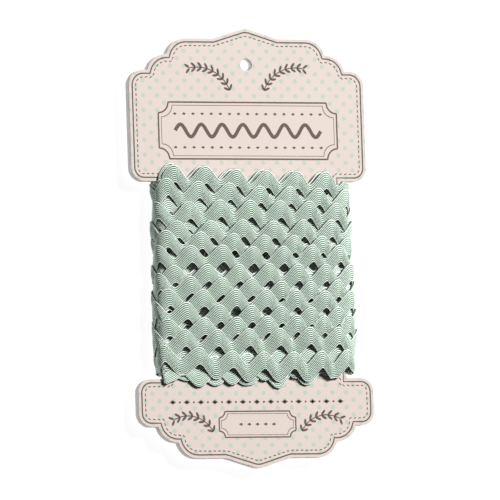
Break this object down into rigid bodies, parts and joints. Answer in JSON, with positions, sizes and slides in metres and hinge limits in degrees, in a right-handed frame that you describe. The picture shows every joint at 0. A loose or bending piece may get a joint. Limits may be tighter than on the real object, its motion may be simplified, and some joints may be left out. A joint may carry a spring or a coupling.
{
  "type": "roll of ric rac wound on a die-cut card",
  "caption": "Wavy ric rac trim wound in overlapping rows round the neck of a die-cut display card with a hang hole.",
  "frame": {"origin": "centre of the bounding box on the surface that the part lies on", "axes": "+Y up the length of the card towards its hang hole, +X to the right across its printed face, +Z out of that face"},
  "size_m": [0.1292, 0.2246, 0.0159],
  "materials": {
    "card_board": "stiff paperboard with a printed matte paper face, grey at its cut edge",
    "ric_rac": "flat braided cotton and polyester trim with soft ribs that follow its wave"
  },
  "bodies": {
    "root": {"card": "card_board", "winding": "ric_rac"}
  },
  "joints": []
}
